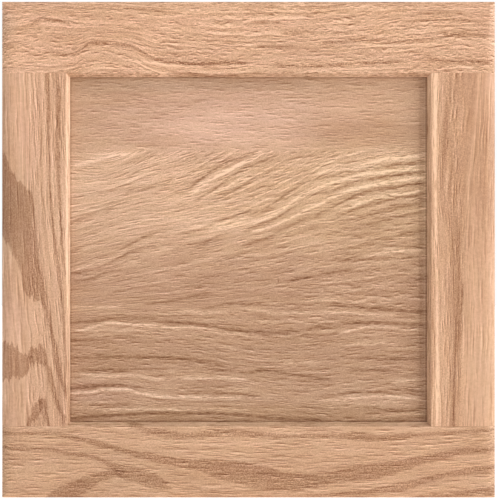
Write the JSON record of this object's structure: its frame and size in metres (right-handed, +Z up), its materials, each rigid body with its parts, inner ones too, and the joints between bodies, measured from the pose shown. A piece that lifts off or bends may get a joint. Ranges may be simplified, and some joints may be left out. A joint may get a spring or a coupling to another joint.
{
  "type": "cabinet door",
  "caption": "Recessed-panel oak cabinet door: rails and stiles with bevelled inner edges and rounded outer edges hold a flat panel; back bored for cup hinges.",
  "frame": {"origin": "middle of the bottom edge, halfway through the thickness", "axes": "+X to the right seen from the front, +Y from the front face to the back, +Z up along the stiles"},
  "size_m": [0.4166, 0.019, 0.419],
  "materials": {
    "oak_frame": "clear satin lacquer",
    "oak_panel": "clear satin lacquer"
  },
  "bodies": {
    "root": {"top_rail": "oak_frame", "bottom_rail": "oak_frame", "left_stile": "oak_frame", "right_stile": "oak_frame", "centre_panel": "oak_panel"}
  },
  "joints": []
}
